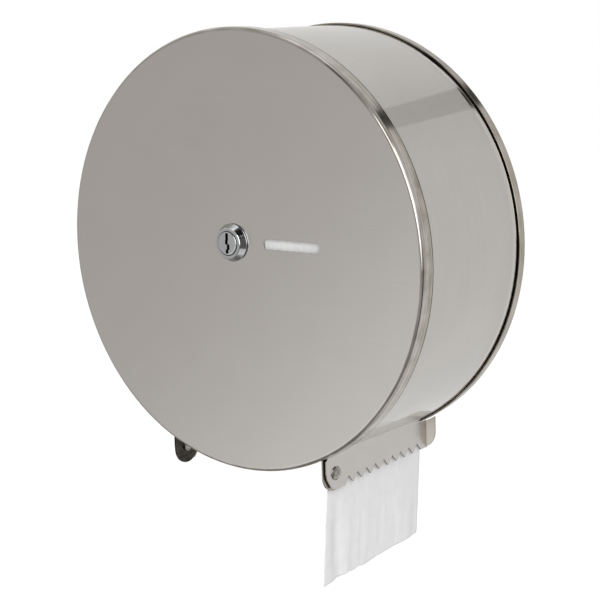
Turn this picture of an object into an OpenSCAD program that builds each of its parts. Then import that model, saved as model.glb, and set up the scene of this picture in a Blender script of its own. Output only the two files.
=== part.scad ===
// Round wall dispenser for jumbo paper rolls: a shallow back pan, a drum wall, a hinged
// front cover with a cam lock, two tear blades and a spindle with a paper roll on it.
// X points right, Z up and -Y out from the wall. The origin is the drum's centre on the wall.

/* [Sheet metal] */
// Thickness of the stainless sheet
sheet_t = 0.8; // [0.6:0.1:1.2]

/* [Front cover] */
// Outer diameter of the cover
cover_d = 265; // [245:1:300]
// Depth of the cover's rim, from the face back
rim_depth = 10.5; // [9:0.1:16]
// Outer radius of the pressed corner between face and rim
corner_r = 2.5; // [1.5:0.1:3]
// Gap beside each blade where the rim is cut away for the outlet
notch_gap = 0.6; // [0.4:0.1:1.5]

/* [Drum wall] */
// Radial gap between the cover's rim and the drum wall
rim_gap = 1.1; // [0.8:0.1:1.6]
// How far the wall's front edge stays behind the cover's face
wall_setback = 3; // [2.5:0.1:6]

/* [Back pan] */
// Depth of the pan's flange
pan_depth = 7.5; // [6:0.1:9]
// How far the flange stands proud of the drum wall
pan_proud = 1.3; // [1:0.1:2]
// Outer radius of the pan's pressed corner
pan_corner_r = 2; // [1.5:0.1:3]
// Width of the open line between the flange and the drum wall
shadow_gap = 1.6; // [1:0.1:2.5]
// Length of the lip that carries the drum wall
lip_overlap = 7; // [5:0.1:10]
// Depth of the stiffening bead pressed round the pan's floor
bead_h = 1.6; // [1:0.1:2.5]
// Radius of the bead's centre line on the floor
bead_line_r = 106; // [100:1:110]

/* [Wall screws] */
// Distance between the screw holes, both ways
screw_pitch = 120; // [100:1:130]
// Radius of a screw hole
screw_hole_r = 3.2; // [2.5:0.1:4]

/* [Paper outlet] */
// Distance between the outer faces of the two tear blades
outlet_w = 119; // [100:1:124]
// Height of a blade's straight edge below the drum wall's cut
blade_drop = 17.5; // [16:0.1:20]
// How much higher a blade's teeth are at the wall than at the cover
foot_rise = 3; // [0:0.1:4]
// Depth of a tooth
tooth_h = 5.1; // [3:0.1:6]
// Number of gaps between teeth
root_count = 9; // [5:1:12]
// Length of straight edge between the last tooth gap and the blade's nose
tooth_land = 3.6; // [2:0.1:8]
// Radius of a tooth's tip
tooth_tip_r = 1.1; // [0.6:0.1:1.5]
// Distance from the wall to the rearmost gap between teeth
rear_root_out = 11.6; // [8.6:0.1:14]
// Width of the tab that a blade's rear end is bent into
tab_w = 7.4; // [5:0.1:14]
// Radius of the tab's lower corner
tab_corner_r = 12; // [9:0.5:14]
// Radial distance of the tab's top edge from the back pan's flange
tab_gap = 0.6; // [0.4:0.1:3]

/* [Cover hinge] */
// Distance of the hinge line behind the cover's face
hinge_back = 14.8; // [14:0.1:18]
// Distance of the hinge line below the drum wall's cut
hinge_drop = 12.7; // [11:0.1:15]
// Radius of a rivet's shank
rivet_r = 2; // [1.5:0.1:2.5]
// Radius of a rivet's head
rivet_head_r = 4.2; // [3.5:0.1:5]
// Height of a rivet's head
rivet_head_h = 1.5; // [1:0.1:2]
// Running clearance of the cover's ears on the rivets
rivet_play = 0.05; // [0.03:0.01:0.1]
// Height of the rivet's closed end inside the ear
rivet_tail_h = 1; // [0.8:0.1:1.5]
// Thickness of the washer between ear and blade
washer_t = 0.8; // [0.5:0.1:1]
// Distance from the hinge line to a blade's front edge
blade_nose = 9.3; // [8:0.1:9.6]
// Radius of a cover ear round its rivet
ear_r = 10.8; // [9:0.1:11]

/* [Lock] */
// Sideways place of the lock's centre
lock_x = -1.6; // [-4:0.1:4]
// Height of the lock's centre above the drum's centre
lock_up = 6.5; // [4:0.1:8]
// Radius of the turning plug
plug_r = 7.35; // [6.8:0.05:8.2]
// Running clearance of the plug in the barrel
plug_play = 0.07; // [0.03:0.01:0.1]
// Thickness of the threaded barrel round the plug
barrel_wall = 1.98; // [1.6:0.01:2.6]
// How deep the barrel's two flats are cut
flat_depth = 1.3; // [0.6:0.1:1.4]
// How far the head stands past the barrel, over the cover's hole
head_lip = 1.9; // [1.2:0.1:3]
// Width of the flat ring round the plug at the front of the head
head_ring_w = 1.58; // [1:0.01:2.2]
// How far the head stands out from the cover
lock_head_h = 4.8; // [3.5:0.1:6]
// Length of the barrel behind the cover's face
lock_barrel_l = 17.5; // [15:0.1:18]
// How far the plug's face stands in front of the head's ring
plug_proud = 0.6; // [0:0.1:1]
// Rounding of the plug's front edge
plug_round = 1.2; // [0.8:0.1:1.3]
// Width of the keyway
keyway_w = 2; // [1:0.1:2.2]
// Solid metal left beyond each end of the keyway
keyway_end = 1.35; // [0.8:0.05:3]
// Depth of the keyway
keyway_depth = 16; // [10:1:18]
// Thinnest wall of the fixing nut
nut_wall = 2.6; // [1.8:0.1:4]
// Thickness of the fixing nut
nut_t = 3.2; // [2.5:0.1:4]

/* [Lock cam] */
// Length of the cam from the plug's axis
cam_l = 13; // [11:0.1:13.5]
// Width of the cam
cam_w = 9; // [8:0.1:10]
// Thickness of the cam
cam_t = 2; // [1.5:0.1:2.5]
// Side of the square end that carries the cam
tang_side = 5; // [4:0.1:5.5]
// Gap between the cam and the latch plate that it turns behind
cam_gap = 0.6; // [0.4:0.1:1]
// Clearance round the cam in the latch plate's slot
cam_slot_play = 1.2; // [0.8:0.1:1.6]

/* [Spindle] */
// Outer radius of the spindle tube
spindle_r = 17; // [16.6:0.1:20]
// Thickness of the spindle tube's wall
spindle_wall = 1.2; // [1:0.1:1.4]
// Gap between the latch plate and the lock's barrel
latch_gap = 2; // [1:0.1:4]
// Thickness of the latch plate
latch_t = 1.5; // [1:0.1:2]
// Radius of the spindle's base flange
base_r = 28; // [25:0.5:36]
// Thickness of the base flange
base_t = 1.5; // [1:0.1:2]
// Radius of a base rivet's shank
base_rivet_r = 1.6; // [1.2:0.1:2]
// Number of base rivets
base_rivet_count = 4; // [3:1:6]

/* [Sight slot] */
// Length of the slot that shows how much paper is left
slot_l = 41; // [20:0.5:44]
// Height of the slot
slot_h = 5.9; // [5:0.1:8]
// Distance from the slot's centre to the drum's centre line
slot_x = 41.9; // [38:0.1:45]
// Radius of the slot's corners
slot_corner_r = 2.2; // [0.5:0.1:2.4]

/* [Paper] */
// Outer diameter of the roll
roll_d = 210; // [160:1:235]
// Width of the paper
paper_w = 99; // [85:0.5:115]
// Distance from the wall to the paper's rear edge
paper_out = 6.5; // [5.5:0.1:8]
// Gap between the paper's front edge and the outside of the cover's face
paper_front_gap = 7.5; // [5:0.1:12]
// Inner radius of the cardboard core
core_r = 19; // [18.8:0.1:38]
// Thickness of the cardboard core
core_t = 1.5; // [1:0.1:2]
// Gap between the core and the top of the spindle it hangs on
core_gap = 0.3; // [0.2:0.05:0.5]
// Thickness of the free sheet
paper_t = 0.4; // [0.3:0.1:0.6]
// Gap between the free sheet and the roll it leaves
paper_gap = 0.3; // [0.2:0.05:0.5]
// Gap between the hanging sheet and the rivet's closed end
sheet_gap = 0.4; // [0.3:0.1:4]
// Length of the sheet hanging below the drum wall's cut
sheet_drop = 81.2; // [40:0.1:120]
// How much higher the sheet's torn end is at the wall side
sheet_slant = 6.5; // [0:0.1:10]

/* [Hidden] */
$fn = 96;
overshoot = 1;      // how far a cut runs past the faces it goes through
arc_steps = 6;      // straight pieces in the section of a pressed corner

cover_r = cover_d / 2;
face_out = paper_out + paper_w + paper_front_gap;
wall_r = cover_r - sheet_t - rim_gap;
wall_in_r = wall_r - sheet_t;
wall_front = face_out - wall_setback;
wall_back = pan_depth + shadow_gap;
pan_r = wall_r + pan_proud;
lip_front = wall_back + lip_overlap;
outlet_half = outlet_w / 2;
cut_low = -sqrt(wall_r * wall_r - outlet_half * outlet_half);          // outer edge of the wall's cut
cut_high = -sqrt(wall_in_r * wall_in_r - outlet_half * outlet_half);   // inner edge of the wall's cut
hinge_out = face_out - hinge_back;
hinge_up = cut_low - hinge_drop;
tooth_pitch = (hinge_out - blade_nose - tooth_land - rear_root_out) / (root_count - 1);
blade_in = outlet_half - sheet_t;
ear_out_x = blade_in - washer_t;
root_up = cut_low - blade_drop;
tip_up = root_up - tooth_h;
tab_low = tip_up + foot_rise;
tab_r = pan_r + tab_gap;
tab_top = -sqrt(tab_r * tab_r - outlet_half * outlet_half);
spindle_in_r = spindle_r - spindle_wall;
base_top = sheet_t + base_t;
lock_barrel_r = plug_r + plug_play + barrel_wall;
lock_flats = 2 * (lock_barrel_r - flat_depth);
lock_head_r = lock_barrel_r + head_lip;
lock_ring_r = plug_r + plug_play + head_ring_w;
keyway_l = 2 * (plug_r - keyway_end);
nut_flats = 2 * (lock_barrel_r + nut_wall);
barrel_back = face_out - lock_barrel_l;
latch_out = barrel_back - latch_gap;
latch_back = latch_out - latch_t;
cam_front = latch_back - cam_gap;
cam_back = cam_front - cam_t;
screw_head_h = 2;
roll_r = roll_d / 2;
roll_up = lock_up + spindle_r - core_r + core_gap;
rivet_tail_x = ear_out_x - sheet_t - rivet_play;
weld_top = cut_high + ear_r;     // top of the ears, where they are welded to the cover's face
sheet_x = rivet_tail_x - rivet_tail_h - sheet_gap - paper_t;
steel = [0.72, 0.71, 0.69];
bright = [0.82, 0.82, 0.83];

// Turns a drawing with Y up and Z out from the wall into the part's own frame.
module on_wall() { rotate([90, 0, 0]) children(); }

// A flat plate whose outline is drawn as [out from the wall, up], its outer face at x.
module side_plate(x, t) {
    translate([x, 0, 0]) rotate([0, -90, 0]) linear_extrude(t) children();
}

// The same piece on the right side (1) or mirrored to the left side (-1).
module on_side(side) { mirror([side < 0 ? 1 : 0, 0, 0]) children(); }

function arc(cx, cy, r, from, to) =
    [for (i = [0:arc_steps]) let (a = from + (to - from) * i / arc_steps) [cx + r * cos(a), cy + r * sin(a)]];

module rounded_bar(l, w, r) {
    square([l - 2 * r, w], center = true);
    square([l, w - 2 * r], center = true);
    for (x = [-1, 1], y = [-1, 1]) translate([x * (l / 2 - r), y * (w / 2 - r)]) circle(r);
}

// ---- back pan -------------------------------------------------------------------------

// Section of the pan: floor with a pressed bead, rounded corner, flange and stepped-in lip.
pan_section = concat(
    [[0, 0], [bead_line_r - 3 * bead_h, 0], [bead_line_r - 2 * bead_h, bead_h],
     [bead_line_r + 2 * bead_h, bead_h], [bead_line_r + 3 * bead_h, 0]],
    arc(pan_r - pan_corner_r, pan_corner_r, pan_corner_r, -90, 0),
    [[pan_r, pan_depth], [wall_in_r, pan_depth], [wall_in_r, lip_front],
     [wall_in_r - sheet_t, lip_front], [wall_in_r - sheet_t, pan_depth - sheet_t],
     [pan_r - sheet_t, pan_depth - sheet_t]],
    arc(pan_r - pan_corner_r, pan_corner_r, pan_corner_r - sheet_t, 0, -90),
    [[bead_line_r + 3 * bead_h, sheet_t], [bead_line_r + 2 * bead_h, sheet_t + bead_h],
     [bead_line_r - 2 * bead_h, sheet_t + bead_h], [bead_line_r - 3 * bead_h, sheet_t], [0, sheet_t]]);

module back_pan() {
    flange_foot = pan_corner_r + sheet_t;
    color(steel) on_wall() difference() {
        rotate_extrude($fn = 180) polygon(pan_section);
        // the flange and lip are cut away where the paper comes out
        translate([-outlet_half - notch_gap, -cover_r, flange_foot])
            cube([outlet_w + 2 * notch_gap, cover_r + cut_high + 10, lip_front]);
        for (x = [-1, 1], y = [-1, 1]) translate([x * screw_pitch / 2, y * screw_pitch / 2, -overshoot])
            cylinder(r = screw_hole_r, h = sheet_t + 2 * overshoot);
        translate([0, lock_up, -overshoot]) base_rivet_places()
            cylinder(r = base_rivet_r, h = sheet_t + 2 * overshoot);
    }
}

// ---- drum wall and tear blades ------------------------------------------------------------

module drum_wall() {
    color(steel) on_wall() difference() {
        translate([0, 0, wall_back]) cylinder(r = wall_r, h = wall_front - wall_back, $fn = 180);
        translate([0, 0, wall_back - overshoot])
            cylinder(r = wall_in_r, h = wall_front - wall_back + 2 * overshoot, $fn = 180);
        translate([-outlet_half, -cover_r, wall_back - overshoot])
            cube([outlet_w, cover_r, wall_front - wall_back + 2 * overshoot]);
    }
}

// How much higher a blade's foot is at this distance from the wall than at the hinge.
function lift(out) = foot_rise * (1 - out / hinge_out);

// Outline of one tooth and the gap in front of it, as [out, up], from rear to front.
function tooth(i) =
    let (rear = rear_root_out + i * tooth_pitch, mid = rear + tooth_pitch / 2)
    concat([[rear, root_up + lift(rear)]], arc(mid, tip_up + lift(mid) + tooth_tip_r, tooth_tip_r, 200, 340));

// Front end of a blade round its rivet: nose, lower chamfer and straight foot.
front_root_out = rear_root_out + (root_count - 1) * tooth_pitch;
blade_front = [
    [front_root_out, root_up + lift(front_root_out)],
    [hinge_out - blade_nose, tip_up],
    [hinge_out, tip_up],
    [hinge_out + blade_nose * 0.45, tip_up + 1.2],
    [hinge_out + blade_nose * 0.92, hinge_up - 2.5],
    [hinge_out + blade_nose, hinge_up + 1],
    [hinge_out + blade_nose, hinge_up + hinge_drop * 0.7],
    [hinge_out + blade_nose * 0.5, cut_high],
    [wall_back, cut_high], [wall_back, tab_top], [0, tab_top]];

// Outline of the tab as it lies on the wall: round below, and along the pan's flange above.
module tab_outline() {
    round_at = [blade_in + tab_w - tab_corner_r, tab_low + tab_corner_r - 1];   // centre of the round corner
    difference() {
        intersection() {
            translate([blade_in, tab_low]) square([tab_w, -tab_low]);
            union() {
                translate(round_at) circle(tab_corner_r);
                translate([blade_in, round_at[1]]) square([tab_w, -round_at[1]]);
            }
        }
        circle(tab_r, $fn = 180);
    }
}

module tear_blade(side) {
    teeth = [for (i = [0:root_count - 2]) each tooth(i)];
    foot_end = rear_root_out * 0.62;
    rear_foot = [[0, tab_low], [foot_end, tip_up + lift(foot_end)]];
    color(steel) on_wall() on_side(side) difference() {
        union() {
            side_plate(outlet_half, sheet_t) polygon(concat(rear_foot, teeth, blade_front));
            linear_extrude(sheet_t) tab_outline();   // bent outwards to lie on the wall
        }
        hinge_line(blade_in - overshoot) cylinder(r = rivet_r, h = sheet_t + 2 * overshoot);
    }
}

// ---- cover hinge -----------------------------------------------------------------------

// Places a drawing with Z along the hinge line, starting at x.
module hinge_line(x) { translate([x, hinge_up, hinge_out]) rotate([0, 90, 0]) children(); }

module hinge_rivet(side) {
    color(bright) on_wall() on_side(side) {
        hinge_line(rivet_tail_x - rivet_tail_h) cylinder(r = rivet_head_r - 0.9, h = rivet_tail_h);
        hinge_line(rivet_tail_x) cylinder(r = rivet_r, h = outlet_half - rivet_tail_x);
        hinge_line(outlet_half) rotate_extrude()
            polygon(concat([[0, 0]], [for (a = [0:15:90]) [rivet_head_r * cos(a), 0.3 + (rivet_head_h - 0.3) * sin(a)]],
                           [[0, rivet_head_h]]));
        hinge_line(outlet_half) cylinder(r = rivet_head_r, h = 0.3);
    }
}

module hinge_washer(side) {
    color(bright) on_wall() on_side(side) hinge_line(ear_out_x) difference() {
        cylinder(r = rivet_head_r + 0.6, h = washer_t);
        translate([0, 0, -overshoot]) cylinder(r = rivet_r + rivet_play, h = washer_t + 2 * overshoot);
    }
}

// ---- front cover ------------------------------------------------------------------------

cover_section = concat(
    [[0, face_out]],
    arc(cover_r - corner_r, face_out - corner_r, corner_r, 90, 0),
    [[cover_r, face_out - rim_depth], [cover_r - sheet_t, face_out - rim_depth]],
    arc(cover_r - corner_r, face_out - corner_r, corner_r - sheet_t, 0, 90),
    [[0, face_out - sheet_t]]);

// Outline of a cover ear as [out, up]: round the rivet, up through the rim's gap behind the
// pressed corner, and along the inside of the face.
module ear_outline() {
    face_back = face_out - sheet_t;
    flat_r = cover_r - corner_r;      // the face is flat up to here
    weld_low = -sqrt(flat_r * flat_r - ear_out_x * ear_out_x) + 0.3;
    translate([hinge_out, hinge_up]) circle(ear_r);
    polygon([[hinge_out - ear_r, hinge_up], [hinge_out + ear_r, hinge_up], [hinge_out + ear_r, weld_low],
             [face_back, weld_low], [face_back, weld_top], [face_back - 4, weld_top]]);
}

module cover_ear(side) {
    color(steel) on_wall() on_side(side) difference() {
        side_plate(ear_out_x, sheet_t) ear_outline();
        hinge_line(ear_out_x - sheet_t - overshoot)
            cylinder(r = rivet_r + rivet_play, h = sheet_t + 2 * overshoot);
    }
}

module front_cover() {
    color(steel) on_wall() difference() {
        rotate_extrude($fn = 180) polygon(cover_section);
        // the rim is cut away over the paper outlet, up to the pressed corner
        translate([-outlet_half - notch_gap, -cover_r - overshoot, face_out - rim_depth - overshoot])
            cube([outlet_w + 2 * notch_gap, cover_r / 2, rim_depth + overshoot - corner_r]);
        translate([lock_x, lock_up, face_out - sheet_t - overshoot])
            cylinder(r = lock_barrel_r + 0.1, h = sheet_t + 2 * overshoot);
        translate([slot_x, lock_up + 0.5, face_out - sheet_t - overshoot])
            linear_extrude(sheet_t + 2 * overshoot) rounded_bar(slot_l, slot_h, slot_corner_r);
    }
}

// ---- cam lock -----------------------------------------------------------------------------

module at_lock(out) { on_wall() translate([lock_x, lock_up, out]) children(); }

module lock_barrel() {
    head_step = 1.1;   // height of the head's straight edge
    ring_round = 0.3;
    color(bright) at_lock(0) difference() {
        union() {
            rotate_extrude() polygon([
                [0, face_out], [lock_head_r - ring_round, face_out], [lock_head_r, face_out + ring_round],
                [lock_head_r, face_out + head_step], [lock_ring_r + ring_round, face_out + lock_head_h - ring_round],
                [lock_ring_r, face_out + lock_head_h], [0, face_out + lock_head_h]]);
            intersection() {
                translate([0, 0, barrel_back]) cylinder(r = lock_barrel_r, h = lock_barrel_l + head_step);
                translate([-lock_flats / 2, -lock_head_r, barrel_back])
                    cube([lock_flats, 2 * lock_head_r, lock_barrel_l + head_step]);
            }
        }
        translate([0, 0, barrel_back - overshoot])
            cylinder(r = plug_r + plug_play, h = lock_barrel_l + lock_head_h + 2 * overshoot);
    }
}

module lock_fixing_nut() {
    color(bright) at_lock(face_out - sheet_t - nut_t) difference() {
        cylinder(r = nut_flats / 2 / cos(30), h = nut_t, $fn = 6);
        translate([0, 0, -overshoot]) cylinder(r = lock_barrel_r + 0.05, h = nut_t + 2 * overshoot);
    }
}

// Section of the keyway, with the steps that guide a flat key.
module keyway() {
    half = keyway_l / 2;
    step = keyway_w * 0.45;
    for (part = [[-half, 0.42, 0], [-half * 0.62, 0.55, step], [-half * 0.1, 0.45, -step * 0.4],
                 [half * 0.3, 0.72, 0]])
        translate([part[2] - keyway_w / 2, part[0]]) square([keyway_w, half * part[1]]);
}

module lock_plug() {
    plug_front = face_out + lock_head_h + plug_proud;
    neck_r = plug_r * 0.6;
    color(bright) at_lock(0) difference() {
        union() {
            rotate_extrude() polygon(concat([[0, barrel_back], [plug_r, barrel_back]],
                arc(plug_r - plug_round, plug_front - plug_round, plug_round, 0, 90), [[0, plug_front]]));
            translate([0, 0, cam_front]) cylinder(r = neck_r, h = barrel_back - cam_front + overshoot);
            translate([-tang_side / 2, -tang_side / 2, cam_back]) cube([tang_side, tang_side, cam_t + overshoot]);
        }
        translate([0, 0, plug_front - keyway_depth]) linear_extrude(keyway_depth + overshoot) keyway();
        translate([0, 0, cam_back - overshoot]) cylinder(r = tang_side * 0.28, h = cam_t + 3);
    }
}

module lock_cam() {
    hub_r = cam_w * 0.6;
    color(steel) at_lock(cam_back) difference() {
        linear_extrude(cam_t) {
            circle(hub_r);
            translate([-cam_w / 2, 0]) square([cam_w, cam_l - 1]);
            translate([-cam_w / 2 + 1, 0]) square([cam_w - 2, cam_l]);
            for (x = [-1, 1]) translate([x * (cam_w / 2 - 1), cam_l - 1]) circle(1);
        }
        translate([-tang_side / 2, -tang_side / 2, -overshoot]) cube([tang_side, tang_side, cam_t + 2 * overshoot]);
    }
}

module cam_screw() {
    slot_w = 0.9;
    head_r = tang_side * 0.85;
    color(bright) at_lock(0) {
        translate([0, 0, cam_back]) cylinder(r = tang_side * 0.28, h = cam_t + 1.5);
        translate([0, 0, cam_back - screw_head_h]) difference() {
            cylinder(r = head_r, h = screw_head_h);
            translate([-head_r - overshoot, -slot_w / 2, -overshoot])
                cube([2 * head_r + 2 * overshoot, slot_w, overshoot + screw_head_h * 0.45]);
        }
    }
}

// ---- spindle -------------------------------------------------------------------------------

module base_rivet_places() {
    ring_r = (base_r + spindle_r) / 2;
    for (i = [0:base_rivet_count - 1]) rotate(45 + i * 360 / base_rivet_count)
        translate([ring_r, 0, 0]) children();
}

module at_spindle(out) { on_wall() translate([0, 0, out]) children(); }

module spindle_base() {
    boss_h = 4;
    color(steel) on_wall() difference() {
        union() {
            translate([0, lock_up, sheet_t]) cylinder(r = base_r, h = base_t);
            translate([0, lock_up, base_top]) cylinder(r = spindle_in_r, h = boss_h);
        }
        translate([0, lock_up, base_top]) cylinder(r = spindle_in_r - spindle_wall, h = boss_h + overshoot);
        translate([0, lock_up, 0]) base_rivet_places() cylinder(r = base_rivet_r, h = base_top + overshoot);
    }
}

module spindle_base_rivets() {
    head_h = 1.3;
    color(bright) on_wall() translate([0, lock_up, 0]) base_rivet_places() {
        cylinder(r = base_rivet_r, h = base_top);
        translate([0, 0, base_top]) cylinder(r1 = base_rivet_r * 1.9, r2 = base_rivet_r * 1.3, h = head_h);
    }
}

module spindle_tube() {
    color(steel) on_wall() translate([0, lock_up, base_top]) difference() {
        cylinder(r = spindle_r, h = latch_back - base_top);
        translate([0, 0, -overshoot]) cylinder(r = spindle_in_r, h = latch_back - base_top + 2 * overshoot);
    }
}

// Front plate of the spindle. The cam goes in through its slot and turns behind it.
module spindle_latch_plate() {
    slot_w = cam_w + 2 * cam_slot_play;
    hole_r = cam_w * 0.6 + cam_slot_play;
    color(steel) on_wall() difference() {
        translate([0, lock_up, latch_back]) cylinder(r = spindle_r, h = latch_t);
        translate([lock_x, lock_up, latch_back - overshoot]) {
            cylinder(r = hole_r, h = latch_t + 2 * overshoot);
            translate([-slot_w / 2, 0, 0]) cube([slot_w, cam_l + cam_slot_play, latch_t + 2 * overshoot]);
        }
    }
}

// ---- paper ---------------------------------------------------------------------------------

module ring_of_paper(outer, inner) {
    on_wall() translate([0, roll_up, paper_out]) difference() {
        cylinder(r = outer, h = paper_w, $fn = 180);
        translate([0, 0, -overshoot]) cylinder(r = inner, h = paper_w + 2 * overshoot);
    }
}

module paper_core() { color([0.72, 0.6, 0.45]) ring_of_paper(core_r + core_t, core_r); }

module paper_roll() { color([0.95, 0.95, 0.94]) ring_of_paper(roll_r, core_r + core_t); }

// The free sheet leaves the roll on a straight line, passes the outlet and hangs down.
module paper_sheet() {
    lift_r = roll_r + paper_gap;
    clear_of_roll = roll_up - sqrt(lift_r * lift_r - sheet_x * sheet_x) - paper_gap;
    turn = [sheet_x, min(weld_top + 2, clear_of_roll)];
    reach = norm([turn[0], turn[1] - roll_up]);
    leave = atan2(turn[1] - roll_up, turn[0]) + acos(lift_r / reach);
    start = [lift_r * cos(leave), roll_up + lift_r * sin(leave)];
    away = [cos(leave), sin(leave)] * paper_t;
    low = cut_low - sheet_drop;
    past = overshoot * sheet_slant / paper_w;
    end = [sheet_x, low - overshoot];
    color([0.95, 0.95, 0.94]) on_wall() difference() {
        translate([0, 0, paper_out]) linear_extrude(paper_w)
            polygon([start, turn, end, end + [paper_t, 0], turn + [paper_t, 0], start + away]);
        // the end is torn off at a slant
        side_plate(sheet_x + paper_t + overshoot, paper_t + 2 * overshoot)
            polygon([[paper_out - overshoot, low + sheet_slant + past], [paper_out + paper_w + overshoot, low - past],
                     [paper_out + paper_w + overshoot, low - 3 * overshoot], [paper_out - overshoot, low - 3 * overshoot]]);
    }
}

back_pan();
drum_wall();
tear_blade(1);  // tear_blade_right
tear_blade(-1);  // tear_blade_left
hinge_rivet(1);  // hinge_rivet_right
hinge_rivet(-1);  // hinge_rivet_left
hinge_washer(1);  // hinge_washer_right
hinge_washer(-1);  // hinge_washer_left
spindle_base();
spindle_base_rivets();
spindle_tube();
spindle_latch_plate();
front_cover();
cover_ear(1);  // cover_ear_right
cover_ear(-1);  // cover_ear_left
lock_barrel();
lock_fixing_nut();
lock_plug();
lock_cam();
cam_screw();
paper_core();
paper_roll();
paper_sheet();
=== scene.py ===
"""Round stainless dispenser for jumbo paper rolls, dressed for rendering.

Lengths are in metres in the frame's own directions: X to the right, -Y out from the wall, Z up.
"""

import math
import random

import bpy
from bpy.props import FloatProperty, FloatVectorProperty, IntProperty, PointerProperty
from mathutils import Matrix, Vector, noise


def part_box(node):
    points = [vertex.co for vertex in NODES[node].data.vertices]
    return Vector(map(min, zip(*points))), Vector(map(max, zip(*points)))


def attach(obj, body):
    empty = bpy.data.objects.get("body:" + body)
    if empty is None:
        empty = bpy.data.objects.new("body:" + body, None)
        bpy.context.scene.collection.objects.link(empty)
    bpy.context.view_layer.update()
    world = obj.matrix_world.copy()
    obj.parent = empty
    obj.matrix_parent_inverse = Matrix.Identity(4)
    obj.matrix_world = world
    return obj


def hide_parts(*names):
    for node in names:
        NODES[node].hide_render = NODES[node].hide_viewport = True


bl_info = {
    "name": "Jumbo roll dispenser",
    "version": (1, 0, 0),
    "blender": (4, 5, 0),
    "location": "3D View > Sidebar > Dispenser",
    "description": "Finishes, paper and studio for a wall-hung paper roll dispenser",
    "category": "Add Mesh",
}

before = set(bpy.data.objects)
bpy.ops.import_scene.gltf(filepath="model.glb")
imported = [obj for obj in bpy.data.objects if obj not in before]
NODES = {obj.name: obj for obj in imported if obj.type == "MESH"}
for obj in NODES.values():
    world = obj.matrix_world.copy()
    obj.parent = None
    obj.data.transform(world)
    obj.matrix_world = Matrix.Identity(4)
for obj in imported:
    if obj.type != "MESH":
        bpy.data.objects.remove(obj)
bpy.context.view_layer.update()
MM = 0.001
DRUM_RADIUS = 0.130  # middle of the pan, wall and rim, for the length of lines that run round them
EDGE_ON, FACE_ON = 0.45, 0.75  # part of the normal along an axis: an edge below the first, a face above


def linear(code):
    """Linear RGB of an sRGB hex colour."""
    parts = [int(code[i:i + 2], 16) / 255 for i in (1, 3, 5)]
    return tuple(c / 12.92 if c <= 0.04045 else ((c + 0.055) / 1.055) ** 2.4 for c in parts)


def colour(name, description, code):
    return FloatVectorProperty(name=name, description=description, subtype="COLOR", size=3,
                               min=0, max=1, default=linear(code))


def length(name, description, value):
    return FloatProperty(name=name, description=description, subtype="DISTANCE", unit="LENGTH",
                         min=0, default=value)


# ---- sizes and colours ----------------------------------------------------------------------


class DispenserSizes(bpy.types.PropertyGroup):
    """Sizes of the paper and of the fine detail."""

    edge_round: length("Edge rounding", "Rounding of the sheet metal's edges", 0.12 * MM)
    grain_pitch: length("Grain pitch", "Distance between the lines of the satin grain", 0.5 * MM)
    tissue_thickness: length("Tissue thickness", "Thickness of the hanging tissue", 0.16 * MM)
    fold_depth: length("Fold depth", "Depth of the folds at the tissue's free end", 0.8 * MM)
    tear_depth: length("Tear depth", "How uneven the torn end of the tissue is", 2.6 * MM)
    sway: length("Sway", "How far the hanging tissue swings towards the wall at the blades", 3.9 * MM)
    telescope: length("Telescope", "How far the roll's inner turns stand out towards the cover", 5.8 * MM)
    fold_count: IntProperty(name="Folds", description="Number of long folds across the tissue",
                            min=1, max=12, default=4)
    layer_pitch: length("Layer pitch", "Distance between the ridges on the roll's ends", 1.25 * MM)


class DispenserColours(bpy.types.PropertyGroup):
    """Colours of the metals, the paper and the studio."""

    satin: colour("Satin steel", "Stainless steel with a satin surface", "#C6C3C0")
    satin_shade: colour("Satin steel, deeper", "The deeper tone in the satin surface", "#C3C0BC")
    spun: colour("Spun rim", "Stainless steel browned by spinning", "#B8B2A8")
    spun_shade: colour("Spun rim, deeper", "The deeper tone in the streaks of the spinning", "#8F897F")
    rolled: colour("Rolled skin", "Stainless steel with its bright rolled skin", "#BFBCB7")
    rolled_shade: colour("Rolled skin, deeper", "The deeper tone along the rolling", "#BAB7B2")
    # the two darkened-steel tones are painted shade, for the left ear in the shadow under the drum
    burnt: colour("Darkened steel", "Steel darkened by welding and oil", "#4B4742")
    burnt_shade: colour("Darkened steel, deeper", "The deepest tone of the darkened steel", "#1F1C19")
    # partly the cut edge's own dull tone, partly painted shade on edges and along the rim's rear edge
    sheared: colour("Sheared edge", "Cut edge of the sheet metal", "#4F4B45")
    pickled: colour("Pickled skin", "Pale matt skin left by pickling beside a weld", "#DAD4CB")
    zinc: colour("Rivet steel", "Plain steel of rivets and washers", "#BDB9B1")
    chrome: colour("Chrome", "Plating of the lock", "#C0C3C6")
    # painted shade: the black in the keyway, round the plug, in the pan's channel and at the lock head's foot
    pit: colour("Keyway", "Oiled metal deep in the keyway", "#15161A")
    tissue: colour("Tissue", "Bleached tissue paper", "#F5F5F5")
    tissue_shade: colour("Tissue, deeper", "The deeper tone between the tissue's fibres", "#EFEFEF")
    wound: colour("Wound tissue", "The palest tone of the tissue on the roll", "#FDFDFD")
    board: colour("Core board", "Grey-brown board of the core", "#9C8B74")
    board_shade: colour("Core board, deeper", "The seam and fibres of the core board", "#7C6C57")
    floor: colour("Floor", "Pale studio floor", "#F2F2F2")


# ---- nodes ------------------------------------------------------------------------------------


def put(tree, kind, sockets=None, **settings):
    """Adds one node. sockets maps an input's name or number to its value or the output that feeds it."""
    made = tree.nodes.new(kind)
    for key, value in settings.items():
        setattr(made, key, value)
    for key, value in (sockets or {}).items():
        if isinstance(value, bpy.types.NodeSocket):
            tree.links.new(value, made.inputs[key])
        else:
            made.inputs[key].default_value = value
    return made


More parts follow.
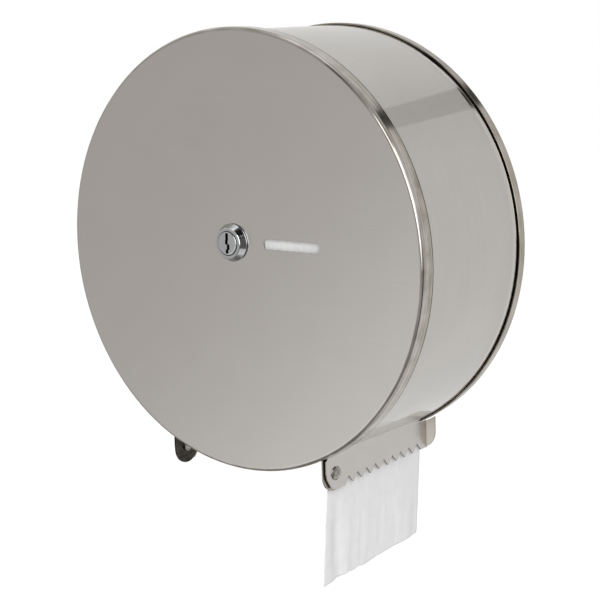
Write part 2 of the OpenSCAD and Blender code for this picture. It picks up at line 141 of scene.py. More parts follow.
def material(name, **shader):
    """A new material with one Principled shader. Returns the material, its tree and the shader."""
    made = bpy.data.materials.new(name)
    made.use_nodes = True
    tree = made.node_tree
    tree.nodes.clear()
    surface = put(tree, "ShaderNodeBsdfPrincipled", shader)
    put(tree, "ShaderNodeOutputMaterial", {"Surface": surface.outputs[0]})
    return made, tree, surface


def rgba(c):
    """A colour with full alpha, as sockets want it."""
    return (c[0], c[1], c[2], 1)


def axes(tree, coordinate="Object"):
    """X, Y and Z of a coordinate: Object is where a point is, and Normal which way its face looks."""
    split = put(tree, "ShaderNodeSeparateXYZ", {0: put(tree, "ShaderNodeTexCoord").outputs[coordinate]})
    return [split.outputs[k] for k in "XYZ"]


def drum_place(tree):
    """Distance from the drum's axis, Y, and the vector out from the axis, at each point of a surface."""
    x, y, z = axes(tree)
    arm = put(tree, "ShaderNodeCombineXYZ", {"X": x, "Z": z}).outputs[0]
    return put(tree, "ShaderNodeVectorMath", {0: arm}, operation="LENGTH").outputs["Value"], y, arm


def ring_coordinates(tree, along, across):
    """Coordinates that run round the drum: slow along the ring and quick across it, with no seam."""
    radius, y, arm = drum_place(tree)
    heading = put(tree, "ShaderNodeVectorMath", {0: arm}, operation="NORMALIZE").outputs[0]
    ring = put(tree, "ShaderNodeVectorMath", {0: heading, "Scale": along}, operation="SCALE").outputs[0]
    depth = put(tree, "ShaderNodeMath", {0: y, 1: radius}, operation="ADD").outputs[0]
    quick = put(tree, "ShaderNodeMath", {0: depth, 1: across}, operation="MULTIPLY").outputs[0]
    lift = put(tree, "ShaderNodeCombineXYZ", {"Y": quick}).outputs[0]
    return put(tree, "ShaderNodeVectorMath", {0: ring, 1: lift}, operation="ADD").outputs[0]


def grain_tone(tree, stretch, pitch, rings=False, patch=0.08, share=0.45):
    """A value about 0.5 that makes lines of a length (stretch) and distance (pitch) on soft patches.

    Sizes are in metres. rings turns the lines round the drum; share is how much of the tone the patches are.
    """
    place = put(tree, "ShaderNodeTexCoord").outputs["Object"]
    if rings:
        run = ring_coordinates(tree, DRUM_RADIUS / stretch, 1 / pitch)
    else:
        scale = (1 / stretch, 1 / stretch, 1 / pitch)
        run = put(tree, "ShaderNodeMapping", {"Vector": place, "Scale": scale}).outputs[0]
    lines = put(tree, "ShaderNodeTexNoise",
                {"Vector": run, "Scale": 1.0, "Detail": 3.0, "Roughness": 0.6}).outputs["Fac"]
    patches = put(tree, "ShaderNodeTexNoise",
                  {"Vector": place, "Scale": 1 / patch, "Detail": 3.0}).outputs["Fac"]
    return layered(tree, lines, (share, patches))


def two_tone(tree, tone, deep, light, reach=0.14):
    """Colour from deep to light as the tone goes from 0.5 - reach to 0.5 + reach."""
    ramp = put(tree, "ShaderNodeValToRGB", {0: tone})
    ends = ramp.color_ramp.elements
    ends[0].position, ends[0].color = 0.5 - reach, rgba(deep)
    ends[1].position, ends[1].color = 0.5 + reach, rgba(light)
    return ramp.outputs[0]


def where(tree, *limits):
    """A mask that is 1 where every limit holds, with soft edges.

    A limit is (value, start, end), a smooth step from 0 at start to 1 at end, or a share or another mask.
    """
    mask = None
    for limit in limits:
        if isinstance(limit, tuple):
            value, start, end = limit
            limit = put(tree, "ShaderNodeMapRange", {"Value": value, "From Min": start, "From Max": end},
                        interpolation_type="SMOOTHSTEP").outputs[0]
        mask = limit if mask is None else put(tree, "ShaderNodeMath", {0: mask, 1: limit},
                                              operation="MULTIPLY").outputs[0]
    return mask


def distance_from(tree, value, middle=0.0):
    """How far a value is from the middle, on either side."""
    offset = put(tree, "ShaderNodeMath", {0: value, 1: middle}, operation="SUBTRACT").outputs[0]
    return put(tree, "ShaderNodeMath", {0: offset}, operation="ABSOLUTE").outputs[0]


def any_of(tree, first, *masks):
    """The greatest of the masks."""
    for mask in masks:
        first = put(tree, "ShaderNodeMath", {0: first, 1: mask}, operation="MAXIMUM").outputs[0]
    return first


def layered(tree, base, *coats):
    """A value or colour that starts as base and has each (mask, coat) laid over it in turn."""
    for mask, coat in coats:
        plain = isinstance(coat, (float, int)) or getattr(coat, "type", None) == "VALUE"
        kind, under, over, result = ("FLOAT", 2, 3, 0) if plain else ("RGBA", 6, 7, 2)
        base = put(tree, "ShaderNodeMix", {"Factor": mask, under: base, over: coat},
                   data_type=kind).outputs[result]
    return base


def overlay(tree, surface, name, mask, value):
    """Where the mask is 1, the shader's input of this name gets a new value or colour over the one it has."""
    target = surface.inputs[name]
    base = target.links[0].from_socket if target.links else target.default_value
    tree.links.new(layered(tree, base, (mask, value)), target)


def on_tab(tree):
    """1 on a blade's tab, the only part of it that lies within 1 mm of the wall."""
    return where(tree, (axes(tree)[1], -1.3 * MM, -0.95 * MM))


def sheet_steel(name, light, deep, roughness, stretch, pitch, rings=False, edge=None, spread=0.03,
                bump=0.1, patch=0.08, share=0.45):
    """Sheet metal with a directional grain.

    roughness is the middle value and spread how far the grain moves it; edge is the colour of the
    cut edges, a dark painted shade: the faces that don't look along X or, on a blade's tab, along Y.
    """
    made, tree, surface = material(name, Metallic=1.0)
    tone = grain_tone(tree, stretch, pitch, rings, patch, share)
    shade = two_tone(tree, tone, deep, light)
    rough = put(tree, "ShaderNodeMapRange",
                {"Value": tone, "From Min": 0.3, "From Max": 0.7,
                 "To Min": roughness + spread, "To Max": roughness - spread}).outputs[0]
    # the edges get the dark painted edge shade
    if edge is not None:
        look_x, look_y, _ = axes(tree, "Normal")
        squarely = distance_from(tree, layered(tree, look_x, (on_tab(tree), look_y)))
        shade = layered(tree, shade, (where(tree, (squarely, FACE_ON, EDGE_ON)), rgba(edge)))
    tree.links.new(shade, surface.inputs["Base Color"])
    tree.links.new(rough, surface.inputs["Roughness"])
    relief = put(tree, "ShaderNodeBump", {"Height": tone, "Strength": bump, "Distance": 0.02 * MM})
    tree.links.new(relief.outputs[0], surface.inputs["Normal"])
    return made


def dress(node, finish, edge=0.0):
    """Gives a node of the frame its finish and, where edge is above 0, softened edges."""
    body = NODES[node]
    body.data.materials.clear()
    body.data.materials.append(finish)
    if edge:
        soften = body.modifiers.new("Softened edges", "BEVEL")
        soften.width = edge
        soften.segments = 2
        soften.limit_method = "ANGLE"
        soften.angle_limit = math.radians(40)
        soften.harden_normals = True
        soften.use_clamp_overlap = True


def mesh_piece(name, points, faces, finish, smooth=True):
    """A new mesh object from points and faces, with one material."""
    mesh = bpy.data.meshes.new(name)
    mesh.from_pydata(points, [], faces)
    mesh.update()
    mesh.materials.append(finish)
    mesh.polygons.foreach_set("use_smooth", [smooth] * len(mesh.polygons))
    made = bpy.data.objects.new(name, mesh)
    bpy.context.scene.collection.objects.link(made)
    return made


def grid_faces(rows, columns, closed=False):
    """Faces of a grid of points stored row by row."""
    last = columns if closed else columns - 1
    return [(r * columns + c, r * columns + (c + 1) % columns,
             (r + 1) * columns + (c + 1) % columns, (r + 1) * columns + c)
            for r in range(rows - 1) for c in range(last)]


# ---- pieces -----------------------------------------------------------------------------------


class DISPENSER_OT_cover(bpy.types.Operator):
    """Finish the front cover and its two hinge ears"""

    bl_idname = "dispenser.cover"
    bl_label = "Front cover"

    def execute(self, context):
        sizes, colours = context.scene.dispenser_sizes, context.scene.dispenser_colours
        # 304 stainless steel, satin: the face gives a broad soft reflection with next to no grain.
        # The rim is spun at the press, so it is browner, shinier and streaked round the drum.
        finish, tree, surface = material("satin_stainless_cover", Metallic=1.0)
        face = grain_tone(tree, 0.030, sizes.grain_pitch, patch=0.03)
        # streaks of the spinning are 0.05 mm apart and drawn 1.4 mm apart so that they show
        spun = grain_tone(tree, 0.040, 1.4 * MM, rings=True, patch=0.012, share=0.4)
        radius, out, _ = drum_place(tree)
        low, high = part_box("front_cover")
        rim = where(tree, (radius, high.x - 2.4 * MM, high.x - 1.7 * MM))
        # the rear half of the rim is browner and more streaked, with a line of painted shadow along its rear
        # edge
        handled = where(tree, (out, low.y + 5.5 * MM, low.y + 6.5 * MM))
        cut = where(tree, (out, high.y - 0.9 * MM, high.y - 0.5 * MM))
        band = layered(tree, two_tone(tree, spun, colours.spun_shade, colours.satin, 0.16),
                       (handled, two_tone(tree, spun, colours.spun_shade, colours.spun, 0.10)),
                       (cut, rgba(colours.sheared)))
        shade = layered(tree, two_tone(tree, face, colours.satin_shade, colours.satin), (rim, band))
        tree.links.new(shade, surface.inputs["Base Color"])
        rough = put(tree, "ShaderNodeMapRange", {"Value": spun, "From Min": 0.35, "From Max": 0.65,
                                                "To Min": 0.18, "To Max": 0.08}).outputs[0]
        tree.links.new(layered(tree, 0.25, (rim, rough)), surface.inputs["Roughness"])
        relief = put(tree, "ShaderNodeBump", {"Height": layered(tree, face, (rim, spun)), "Strength": 0.08,
                                              "Distance": 0.02 * MM})
        tree.links.new(relief.outputs[0], surface.inputs["Normal"])
        dress("front_cover", finish, sizes.edge_round)
        # the ears are the same steel, blanked; the left one is darkened with painted shade for the shadow it
        # hangs in
        clean = sheet_steel("blanked_stainless_ear", colours.spun, colours.spun_shade, 0.28,
                            0.006, 2.0 * MM, patch=0.008)
        dark = sheet_steel("painted_shade_stainless_ear", colours.burnt, colours.burnt_shade, 0.32,
                           0.006, 2.0 * MM, edge=colours.burnt_shade, patch=0.008)
        dress("cover_ear_right", clean, sizes.edge_round)
        dress("cover_ear_left", dark, sizes.edge_round)
        return {"FINISHED"}


class DISPENSER_OT_drum(bpy.types.Operator):
    """Finish the drum wall and the back pan"""

    bl_idname = "dispenser.drum"
    bl_label = "Drum and back pan"

    def execute(self, context):
        sizes, colours = context.scene.dispenser_sizes, context.scene.dispenser_colours
        # 304 stainless strip with a bright rolled skin: even and hazy, under a faint clear reflection
        wall = sheet_steel("bright_rolled_stainless_wall", colours.rolled, colours.rolled_shade, 0.45,
                           0.060, 2.4 * MM, rings=True, spread=0.02, bump=0.03, patch=0.05, share=0.6)
        tree = wall.node_tree
        skin = tree.nodes["Principled BSDF"]
        skin.inputs["Coat Weight"].default_value = 0.8
        skin.inputs["Coat Roughness"].default_value = 0.02
        # a strip 4 mm wide along the rear edge was pressed smooth when the wall went onto the pan
        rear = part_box("drum_wall")[1]
        strip = where(tree, (axes(tree)[1], rear.y - 4.1 * MM, rear.y - 3.9 * MM))
        overlay(tree, skin, "Roughness", strip, 0.12)
        dress("drum_wall", wall)
        # the pan's flange is spun like the cover's rim, so it is browner and streaked
        pan = sheet_steel("spun_stainless_pan", colours.spun, colours.spun_shade, 0.13,
                          0.055, 1.4 * MM, rings=True, spread=0.05, patch=0.015)
        tree = pan.node_tree
        skin = tree.nodes["Principled BSDF"]
        radius, out, _ = drum_place(tree)
        # only the flange is streaked; the plate inside it is satin like the cover's face
        plate = where(tree, (radius, rear.x - 1.9 * MM, rear.x - 2.4 * MM))
        satin = grain_tone(tree, 0.030, sizes.grain_pitch, patch=0.03)
        overlay(tree, skin, "Base Color", plate, two_tone(tree, satin, colours.satin_shade, colours.satin))
        overlay(tree, skin, "Roughness", plate, 0.28)
        # the channel between the wall and the flange is painted black, as painted shade
        groove = where(tree, (radius, rear.x - 2.2 * MM, rear.x - 2.0 * MM),
                       (radius, rear.x + 0.45 * MM, rear.x + 0.15 * MM),
                       (out, rear.y - 0.6 * MM, rear.y - 0.4 * MM),
                       (out, rear.y + 2.6 * MM, rear.y + 2.4 * MM))
        overlay(tree, skin, "Base Color", groove, rgba(colours.pit))
        overlay(tree, skin, "Roughness", groove, 0.6)
        dress("back_pan", pan, sizes.edge_round)
        return {"FINISHED"}


class DISPENSER_OT_blades(bpy.types.Operator):
    """Finish the tear blades, their rivets and washers"""

    bl_idname = "dispenser.blades"
    bl_label = "Tear blades and hinge"

    def execute(self, context):
        sizes, colours = context.scene.dispenser_sizes, context.scene.dispenser_colours
        # blanked stainless sheet: satin faces, and rough edges darkened with painted shade that draws the
        # teeth
        blade = sheet_steel("blanked_stainless_blade", colours.satin, colours.satin_shade, 0.30,
                            0.020, 1.2 * MM, edge=colours.sheared, patch=0.012)
        tree = blade.node_tree
        skin = tree.nodes["Principled BSDF"]
        # the tab that was welded to the wall is pickled, which leaves a matt pale skin on it;
        # its edges keep the dark painted edge shade, which draws its outline
        tab = on_tab(tree)
        look_x, look_y, _ = axes(tree, "Normal")
        overlay(tree, skin, "Roughness", tab, 0.7)
        overlay(tree, skin, "Metallic", tab, 0.1)
        skinned = where(tree, tab, (distance_from(tree, look_y), EDGE_ON, FACE_ON))
        overlay(tree, skin, "Base Color", skinned, rgba(colours.pickled))
        # round the nose the edge is paler, without the painted edge shade
        ear_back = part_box("cover_ear_right")[1].y
        worn = where(tree, (axes(tree)[1], ear_back + 1 * MM, ear_back - 1 * MM),
                     (distance_from(tree, look_x), FACE_ON, EDGE_ON))
        overlay(tree, skin, "Base Color", worn, rgba(colours.spun))
        for name in ("tear_blade_right", "tear_blade_left"):
            dress(name, blade, sizes.edge_round)
        # cold-headed stainless rivets: small domes with a worn sheen
        rivet = sheet_steel("headed_stainless_rivet", colours.zinc, colours.sheared, 0.24,
                            0.002, 1.2 * MM, patch=0.002)
        for name in ("hinge_rivet_right", "hinge_rivet_left", "hinge_washer_right", "hinge_washer_left"):
            dress(name, rivet)
        return {"FINISHED"}


class DISPENSER_OT_lock(bpy.types.Operator):
    """Finish the cam lock"""

    bl_idname = "dispenser.lock"
    bl_label = "Cam lock"

    def execute(self, context):
        colours = context.scene.dispenser_colours
        # zinc casting with bright chrome plate: a near mirror, a touch soft from handling
        chrome, tree, surface = material("chromed_zinc_lock", Metallic=1.0)
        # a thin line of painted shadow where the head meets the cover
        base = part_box("front_cover")[0].y
        grime = where(tree, (axes(tree)[1], base - 0.55 * MM, base - 0.30 * MM))
        shade = layered(tree, rgba(colours.chrome), (grime, rgba(colours.pit)))
        tree.links.new(shade, surface.inputs["Base Color"])
        # handling leaves marks about 1.2 mm across
        place = put(tree, "ShaderNodeTexCoord").outputs["Object"]
        wear = put(tree, "ShaderNodeTexNoise",
                   {"Vector": place, "Scale": 1 / (1.2 * MM), "Detail": 3.0}).outputs["Fac"]
        tree.links.new(layered(tree, 0.05, (wear, 0.16)), surface.inputs["Roughness"])
        for name in ("lock_barrel", "lock_fixing_nut"):
            dress(name, chrome, 0.08 * MM)
        # the plug has the same plate on its face; in the keyway and round its side it is painted black as
        # shade
        plug, tree, surface = material("chromed_zinc_plug", Metallic=1.0)
        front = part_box("lock_plug")[0].y
        deep = put(tree, "ShaderNodeMapRange", {"Value": axes(tree)[1], "From Min": front + 0.24 * MM,
                                                "From Max": front + 0.36 * MM}).outputs[0]
        shade = layered(tree, rgba(colours.chrome), (deep, rgba(colours.pit)))
        tree.links.new(shade, surface.inputs["Base Color"])
        tree.links.new(layered(tree, 0.16, (deep, 0.55)), surface.inputs["Roughness"])
        dress("lock_plug", plug)
        # pressed steel with dull zinc plate
        cam = sheet_steel("zinc_plated_steel_cam", colours.zinc, colours.satin_shade, 0.35, 0.004, 0.8 * MM)
        dress("lock_cam", cam, 0.1 * MM)
        dress("cam_screw", cam, 0.1 * MM)
        return {"FINISHED"}


class DISPENSER_OT_spindle(bpy.types.Operator):
    """Finish the spindle and its rivets"""

    bl_idname = "dispenser.spindle"
    bl_label = "Spindle"

    def execute(self, context):
        sizes, colours = context.scene.dispenser_sizes, context.scene.dispenser_colours
        # stainless tube and plate with the cover's satin surface, a little duller
        steel = sheet_steel("satin_stainless_spindle", colours.satin, colours.satin_shade, 0.34, 0.012,
                            sizes.grain_pitch)
        for name in ("spindle_base", "spindle_tube", "spindle_latch_plate"):
            dress(name, steel, sizes.edge_round)
        # cold-headed stainless, like the hinge's rivets but unworn
        rivet = sheet_steel("headed_stainless_base_rivet", colours.zinc, colours.sheared, 0.32,
                            0.002, 1.0 * MM)
        dress("spindle_base_rivets", rivet)
        return {"FINISHED"}


def tissue_finish(name, deep, light, crepe_axis):
    """Bleached tissue: matt, with a fine crepe that runs across the web and softens the light on it."""
    made, tree, surface = material(name, Roughness=0.92)
    surface.inputs["Specular IOR Level"].default_value = 0.25
    place = put(tree, "ShaderNodeTexCoord").outputs["Object"]
    # crepe lines 0.6 mm apart and 9 mm long, coarser than real so that they show, on 8 mm clouds of fibre
    scale = [1 / (0.6 * MM)] * 3
    scale[crepe_axis] = 1 / (9 * MM)
    run = put(tree, "ShaderNodeMapping", {"Vector": place, "Scale": tuple(scale)}).outputs[0]
    crepe = put(tree, "ShaderNodeTexNoise", {"Vector": run, "Scale": 1.0, "Detail": 2.0}).outputs["Fac"]
    fibre = put(tree, "ShaderNodeTexNoise",
                {"Vector": place, "Scale": 1 / (8 * MM), "Detail": 3.0}).outputs["Fac"]
    tone = layered(tree, crepe, (0.5, fibre))
    tree.links.new(two_tone(tree, tone, deep, light), surface.inputs["Base Color"])
    relief = put(tree, "ShaderNodeBump", {"Height": tone, "Strength": 0.3, "Distance": 0.08 * MM})
    tree.links.new(relief.outputs[0], surface.inputs["Normal"])
    return made


class DISPENSER_OT_roll(bpy.types.Operator):
    """Build the wound roll over its solid and finish the core"""

    bl_idname = "dispenser.roll"
    bl_label = "Paper roll"

    def execute(self, context):
        sizes, colours = context.scene.dispenser_sizes, context.scene.dispenser_colours
        low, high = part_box("paper_roll")
        centre = (low + high) / 2
        outer = (high.x - low.x) / 2
        core_low, core_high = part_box("paper_core")
        inner = (core_high.x - core_low.x) / 2
        chance = random.Random(7)
        layers = round((outer - inner) / sizes.layer_pitch)
        sink_least, sink_spread = 0.12 * MM, 0.28 * MM  # how deep a layer's ridge lies in the roll's end
        valley = 0.22 * MM  # how much deeper the line between two layers lies
        dent, end_dent = 0.25 * MM, 0.10 * MM  # half the depth of soft dents round the roll and on its ends
        ends = [[], []]  # (radius, y) from the core outwards, for the front end and the rear end
        for side, face in enumerate((low.y, high.y)):
            inwards = 1 if side == 0 else -1
            for i in range(layers):
                a = inner + (outer - inner) * i / layers
                b = inner + (outer - inner) * (i + 1) / layers
                sink = sink_least + chance.random() * sink_spread
                # the inner turns stand out towards the cover, as on a roll that was carried by its core
                if side == 0:
                    sink -= sizes.telescope * max(0.0, 1 - (i / layers / 0.8) ** 4)
                ends[side] += [(a + 0.1 * (b - a), face + inwards * (sink + valley)),
                               (a + 0.5 * (b - a), face + inwards * sink)]
            ends[side].append((outer - 0.5 * MM, face + inwards * 0.3 * MM))
        span, steps = 14, 144  # points along the roll and round it
        rim = [(outer, low.y + (high.y - low.y) * (k + 0.5) / span) for k in range(span)]
        section = ends[0] + rim + ends[1][::-1]
        points = []
        for radius, depth in section:
            for k in range(steps):
                turn = 2 * math.pi * k / steps
                way = Vector((math.cos(turn), 0, math.sin(turn)))
                wave = noise.noise(way * 2.1 + Vector((0, depth * 25, radius * 30)))
                r = radius - (dent * (1 + wave) if radius > outer - 0.2 * MM else 0)
                y = depth + (end_dent * (1 + wave)) * (1 if depth < centre.y else -1)
                points.append((centre.x + r * way.x, y, centre.z + r * way.z))
        last = (len(section) - 1) * steps
        bore = [(last + k, last + (k + 1) % steps, (k + 1) % steps, k) for k in range(steps)]
        roll = mesh_piece("wound_roll", points, grid_faces(len(section), steps, True) + bore,
                          tissue_finish("wound_tissue", colours.tissue, colours.wound, 1))
        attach(roll, "roll")
        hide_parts("paper_roll")
        # spiral-wound board: grey-brown, with a darker seam that climbs round the tube
        board, tree, surface = material("spiral_wound_board", Roughness=0.85)
        fibre_size, seam_pitch = 1.5 * MM, 55 * MM
        place = put(tree, "ShaderNodeTexCoord").outputs["Object"]
        fibres = put(tree, "ShaderNodeTexNoise",
                     {"Vector": place, "Scale": 1 / fibre_size, "Detail": 4.0}).outputs["Fac"]
        x, y, z = axes(tree)
        above = put(tree, "ShaderNodeMath", {0: z, 1: centre.z}, operation="SUBTRACT").outputs[0]
        turn = put(tree, "ShaderNodeMath", {0: above, 1: x}, operation="ARCTAN2").outputs[0]
        climb = put(tree, "ShaderNodeMath", {0: y, 1: 2 * math.pi / seam_pitch},
                    operation="MULTIPLY").outputs[0]
        spiral = put(tree, "ShaderNodeMath", {0: turn, 1: climb}, operation="ADD").outputs[0]
        seam = put(tree, "ShaderNodeMath", {0: spiral}, operation="COSINE").outputs[0]
        line = put(tree, "ShaderNodeMapRange",
                   {"Value": seam, "From Min": 0.985, "From Max": 0.999}).outputs[0]
        worn = any_of(tree, line, fibres)
        ramp = put(tree, "ShaderNodeValToRGB", {0: worn})
        ends = ramp.color_ramp.elements
        ends[0].position, ends[0].color = 0.4, rgba(colours.board)
        ends[1].position, ends[1].color = 0.8, rgba(colours.board_shade)
        tree.links.new(ramp.outputs[0], surface.inputs["Base Color"])
        relief = put(tree, "ShaderNodeBump", {"Height": worn, "Strength": 0.3, "Distance": 0.1 * MM})
        tree.links.new(relief.outputs[0], surface.inputs["Normal"])
        dress("paper_core", board, 0.15 * MM)
        return {"FINISHED"}


class DISPENSER_OT_sheet(bpy.types.Operator):
    """Build the free sheet that hangs out of the dispenser"""

    bl_idname = "dispenser.sheet"
    bl_label = "Hanging sheet"

    def execute(self, context):
        sizes, colours = context.scene.dispenser_sizes, context.scene.dispenser_colours
        solid = NODES["paper_sheet"]
        low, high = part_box("paper_sheet")
        # the solid's section gives the route: off the roll, over the turn and straight down
        corners = [v.co for v in solid.data.vertices]
        section = sorted({(round(c.x, 6), round(c.z, 6)) for c in corners}, key=lambda p: p[1])
        hang_x = min(p[0] for p in section)
        start = max(section, key=lambda p: p[1])
        turns = [p for p in section if abs(p[0] - hang_x) < 0.6 * MM and p[1] > low.z + 20 * MM]
        turn_z = sum(p[1] for p in turns) / len(turns)
        slant = min(c.z for c in corners if c.y > high.y - 1 * MM) - low.z
        middle_x = hang_x + 0.1 * MM
        route = [Vector((start[0], 0, start[1])), Vector((middle_x, 0, turn_z)), Vector((middle_x, 0, low.z))]
        legs = [(b - a).length for a, b in zip(route, route[1:])]
        total = sum(legs)
        blade_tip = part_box("tear_blade_right")[0].z
        wall_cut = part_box("drum_wall")[0].z
        rows, columns = 170, 120
        width = high.y - low.y
        spare = 1.5 * MM  # what the tear may leave below the solid's end
        sway_start, sway_run = 16 * MM, 28 * MM  # height above the wall's cut edge, and the drop from there
        edge_wander = 0.9 * MM

        def wander(across, down=0.0, layer=0.0):
            """A smooth value about 0 that changes over a distance of about 1."""
            return noise.noise(Vector((across, down, layer)))

        points = []
        for i in range(rows):
            for j in range(columns):
                across = j / (columns - 1)
                y = low.y + width * across
                # torn end: the slant of the solid's end, under slow waves that are deeper away from the
                # wall, and under fine fibres
                tear = 0.45 + 0.45 * wander(across * 3.4, 4.2)
                tear += 0.55 * (1 - across) * wander(across * 13, 2.6)
                tear += 0.10 * wander(across * 40, 9.1)
                end = total + spare - slant * across - sizes.tear_depth * max(0.0, min(1.0, tear))
                s = end * i / (rows - 1)
                if s < legs[0]:
                    at = route[0].lerp(route[1], s / legs[0])
                    out = Vector((route[1].z - route[0].z, 0, route[0].x - route[1].x)).normalized()
                else:
                    at = route[1] + (route[2] - route[1]) * (s - legs[0]) / legs[1]
                    out = Vector((-1, 0, 0))
                # free is 0 at the blade's tips and 1 at the end; the folds open below the tips
                free = max(0.0, (blade_tip - 1 * MM - at.z) / (blade_tip - low.z))
                ease = min(1.0, free * 2.2) ** 1.3
                # long soft folds that run down the sheet and wander a little, with finer creases on them
                place = sizes.fold_count * (across + 0.05 * wander(across * 2, free * 1.2, 1))
                wave = math.sin(2 * math.pi * place + 0.7)
                wave += 0.55 * math.sin(2 * math.pi * 2.6 * place + 1.9 + 0.6 * free)
                crease = wander(across * 15, free * 1.6, 5) + 0.35 * wander(across * 34, free * 4, 8)
                # the edge away from the wall stands in one deeper fold
                ridge = math.exp(-((across - 0.10 - 0.05 * free) / 0.055) ** 2)
                # and a shallow hollow runs down beside the edge next to the wall
                hollow = math.exp(-((across - 0.80 - 0.04 * free) / 0.085) ** 2)
                shift = sizes.fold_depth * ease * (0.12 * wave + 0.32 * crease + 2.0 * ridge - 1.0 * hollow)
                # the hanging part sways: towards the wall at the blade, back out at its end
                drop = max(0.0, min(1.0, (wall_cut + sway_start - at.z) / sway_run))
                drop = drop * drop * (3 - 2 * drop)
                sway = sizes.sway * drop - 1.45 * sizes.sway * free
                # its two long edges wander apart from each other
                edges = [wander(7 * side, at.z * 90, 3) for side in (0, 1)]
                edge = edge_wander * ease * (edges[0] * (1 - across) + edges[1] * across)
                points.append((at.x + out.x * shift, y + sway + edge, at.z + out.z * shift))
        sheet = mesh_piece("hanging_tissue", points, grid_faces(rows, columns),
                           tissue_finish("creped_tissue", colours.tissue_shade, colours.tissue, 2))
        thick = sheet.modifiers.new("Ply", "SOLIDIFY")
        thick.thickness = sizes.tissue_thickness
        thick.offset = 0
        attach(sheet, "drum")
        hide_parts("paper_sheet")
        return {"FINISHED"}


# ---- studio -----------------------------------------------------------------------------------


def rays(tree):
    """Masks of the rays that reflections are made of, and of those that the camera sees by."""
    light = put(tree, "ShaderNodeLightPath").outputs
    return light["Is Glossy Ray"], any_of(tree, light["Is Camera Ray"], light["Is Transmission Ray"])


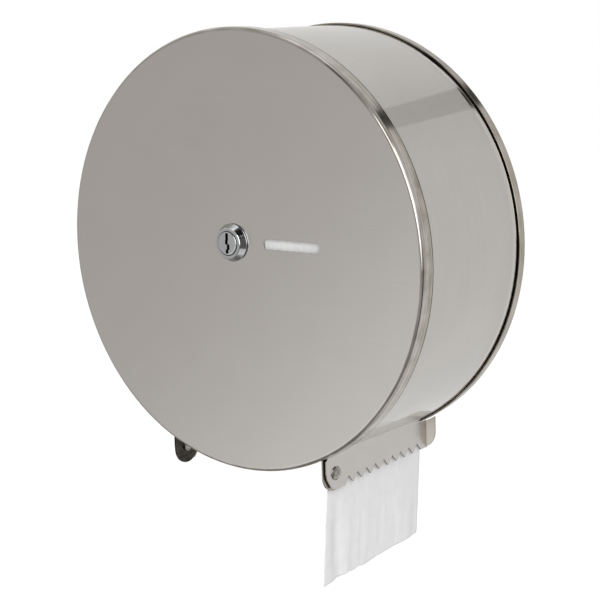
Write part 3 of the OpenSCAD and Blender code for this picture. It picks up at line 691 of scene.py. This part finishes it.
class DISPENSER_OT_stage(bpy.types.Operator):
    """Set the camera, lamps, surroundings and floor"""

    bl_idname = "dispenser.stage"
    bl_label = "Stage"

    def execute(self, context):
        scene = context.scene
        colours = scene.dispenser_colours
        # camera: a long lens to the right of the front, a little above
        across, rise, roll = math.radians(37.67), math.radians(10.27), math.radians(-1.52)
        aim, distance = Vector((-0.0397, 0, -0.0496)), 1.0962
        focal_pixels, image_width, sensor = 1649, 600, 36  # the sensor in millimetres
        back = Vector((math.sin(across) * math.cos(rise), -math.cos(across) * math.cos(rise), math.sin(rise)))
        right = Vector((math.cos(across), math.sin(across), 0))
        up = back.cross(right)
        right, up = (math.cos(roll) * right + math.sin(roll) * up,
                     math.cos(roll) * up - math.sin(roll) * right)
        data = bpy.data.cameras.new("Camera")
        data.sensor_width = sensor
        data.lens = focal_pixels * sensor / image_width
        camera = bpy.data.objects.new("Camera", data)
        scene.collection.objects.link(camera)
        turned = Matrix((right, up, back)).transposed().to_4x4()
        camera.matrix_world = Matrix.Translation(aim + distance * back) @ turned
        scene.camera = camera

        # a large soft box beside the camera and a small one overhead; sizes in metres, power in watts
        for name, place, size, power in (
            ("Front box", (1.55, -1.55, 0.71), 2.0, 33),
            ("Top box", (-0.3, -0.6, 2.2), 1.2, 3),
        ):
            lamp = bpy.data.lights.new(name, "AREA")
            lamp.shape = "SQUARE"
            lamp.size = size
            lamp.energy = power
            box = bpy.data.objects.new(name, lamp)
            scene.collection.objects.link(box)
            box.location = place
            box.rotation_euler = (-Vector(place)).to_track_quat("-Z", "Y").to_euler()
            box.visible_camera = False

        # surroundings as the metal shows them: pale screens, lighter behind than in front, with three
        # dark gaps between them, to the right, in front and high behind, and a grey floor in front.
        # Edges are given in parts of the unit vector that looks out into the room, and turns in radians.
        world = bpy.data.worlds.new("Studio")
        world.use_nodes = True
        scene.world = world
        tree = world.node_tree
        tree.nodes.clear()
        way = put(tree, "ShaderNodeTexCoord").outputs["Generated"]
        split = put(tree, "ShaderNodeSeparateXYZ", {0: way})
        x, y, z = (split.outputs[k] for k in "XYZ")

        def along(direction):
            """How far the view into the room goes along a direction."""
            return put(tree, "ShaderNodeVectorMath", {0: way, 1: direction},
                       operation="DOT_PRODUCT").outputs["Value"]

        # levels of the screens, where 1 is white
        left_level, left_foot, front_level, back_level, back_foot = 0.60, 1.20, 0.55, 0.87, 0.93
        behind = layered(tree, back_level, (where(tree, (z, 0.0, -0.57)), back_foot))
        screens = layered(tree, left_level, (where(tree, (along((0.75, 0, -0.6)), -0.36, -0.22)), left_foot),
                          (where(tree, (x, -0.38, -0.20)), front_level),
                          (where(tree, (y, -0.35, 0.05)), behind))
        # how dark each gap is; the one to the right is black above eye level and half filled below it
        right_upper, right_lower, front_share, high_share, floor_share = 0.99, 0.80, 0.96, 0.96, 0.60
        turn = put(tree, "ShaderNodeMath", {0: y, 1: x}, operation="ARCTAN2").outputs[0]
        right_gap = where(tree, (distance_from(tree, turn, -0.19), 0.26, 0.20), (z, -0.60, -0.50),
                          layered(tree, right_lower, (where(tree, (z, 0.34, 0.40)), right_upper)))
        front_gap = where(tree, (distance_from(tree, turn, -1.78), 0.09, 0.05), front_share,
                          (z, -0.26, -0.16), (z, 0.90, 0.82))
        high_line = distance_from(tree, along((0.324, 0.461, -0.826)), 0.008)
        high_gap = where(tree, (high_line, 0.044, 0.036), (along((0.15, 0.836, 0.524)), 0.962, 0.974),
                         high_share)
        # the floor in front and to the left is grey, the more so to the right of the front
        low_left = where(tree, (z, -0.36, -0.50), (x, 0.25, 0.05), (y, 0.50, 0.25))
        low_right = where(tree, (z, -0.22, -0.30), (x, 0.10, 0.30), (y, -0.10, -0.25))
        low = where(tree, any_of(tree, low_left, low_right), (y, -0.68, -0.56), floor_share)
        dark = any_of(tree, right_gap, front_gap, high_gap, low)
        bright = put(tree, "ShaderNodeMath", {0: 1.0, 1: dark}, operation="SUBTRACT").outputs[0]
        level = where(tree, screens, bright)
        # the dimmer parts of the room are a little warmer
        white, warm = (1, 1, 1, 1), (1.0, 0.965, 0.93, 1)
        tint = layered(tree, warm, (where(tree, (level, 0.5, 1.05)), white))
        # matt surfaces get one plain level from all sides, and the background is white
        plain_level = 0.42
        reflected, seen = rays(tree)
        shiny = put(tree, "ShaderNodeBackground", {"Color": tint, "Strength": level}).outputs[0]
        plain = put(tree, "ShaderNodeBackground", {"Color": white, "Strength": plain_level}).outputs[0]
        clear = put(tree, "ShaderNodeBackground", {"Color": white, "Strength": 1.0}).outputs[0]
        lit = put(tree, "ShaderNodeMixShader", {0: reflected, 1: plain, 2: shiny}).outputs[0]
        room = put(tree, "ShaderNodeMixShader", {0: seen, 1: lit, 2: clear}).outputs[0]
        put(tree, "ShaderNodeOutputWorld", {"Surface": room})

        # matt painted floor, well below the wall-hung drum; it looks white and keeps the shadow
        finish, tree, surface = material("matt_white_floor", Roughness=0.9)
        surface.inputs["Base Color"].default_value = rgba(colours.floor)
        glow_level, glow_share = 1.15, 0.85
        reflected, seen = rays(tree)
        glow = put(tree, "ShaderNodeEmission", {"Color": white, "Strength": glow_level}).outputs[0]
        mixed = put(tree, "ShaderNodeMixShader",
                    {0: where(tree, seen, glow_share), 1: surface.outputs[0], 2: glow}).outputs[0]
        # reflections go on through it to the surroundings, which are white there too
        open_floor = put(tree, "ShaderNodeBsdfTransparent").outputs[0]
        mixed = put(tree, "ShaderNodeMixShader", {0: reflected, 1: mixed, 2: open_floor}).outputs[0]
        tree.links.new(mixed, next(n for n in tree.nodes if n.type == "OUTPUT_MATERIAL").inputs["Surface"])
        reach, floor_z = 7, -0.9  # how far the floor goes from the middle, and its height, in metres
        corners = [(-reach, -reach, floor_z), (reach, -reach, floor_z),
                   (reach, reach, floor_z), (-reach, reach, floor_z)]
        floor = mesh_piece("studio_floor", corners, [(0, 1, 2, 3)], finish, smooth=False)

        scene.view_settings.view_transform = "Standard"
        return {"FINISHED"}


# ---- panel and registration ---------------------------------------------------------------------

OPERATORS = (DISPENSER_OT_stage, DISPENSER_OT_cover, DISPENSER_OT_drum, DISPENSER_OT_blades,
             DISPENSER_OT_lock, DISPENSER_OT_spindle, DISPENSER_OT_roll, DISPENSER_OT_sheet)


class DISPENSER_PT_sidebar(bpy.types.Panel):
    """Buttons for the dispenser's pieces, with its sizes and colours"""

    bl_idname = "DISPENSER_PT_sidebar"
    bl_label = "Dispenser"
    bl_space_type = "VIEW_3D"
    bl_region_type = "UI"
    bl_category = "Dispenser"

    def draw(self, context):
        layout = self.layout
        for operator in OPERATORS:
            layout.operator(operator.bl_idname)
        for group in (context.scene.dispenser_sizes, context.scene.dispenser_colours):
            box = layout.box()
            for key in group.bl_rna.properties.keys():
                if key not in ("rna_type", "name"):
                    box.prop(group, key)


CLASSES = (DispenserSizes, DispenserColours, *OPERATORS, DISPENSER_PT_sidebar)


def register():
    for cls in CLASSES:
        bpy.utils.register_class(cls)
    bpy.types.Scene.dispenser_sizes = PointerProperty(type=DispenserSizes)
    bpy.types.Scene.dispenser_colours = PointerProperty(type=DispenserColours)


def unregister():
    del bpy.types.Scene.dispenser_colours
    del bpy.types.Scene.dispenser_sizes
    for cls in reversed(CLASSES):
        bpy.utils.unregister_class(cls)


def main():
    register()
    for operator in OPERATORS:
        group, name = operator.bl_idname.split(".")
        getattr(getattr(bpy.ops, group), name)()
    bpy.context.view_layer.update()


if __name__ == "__main__":
    main()
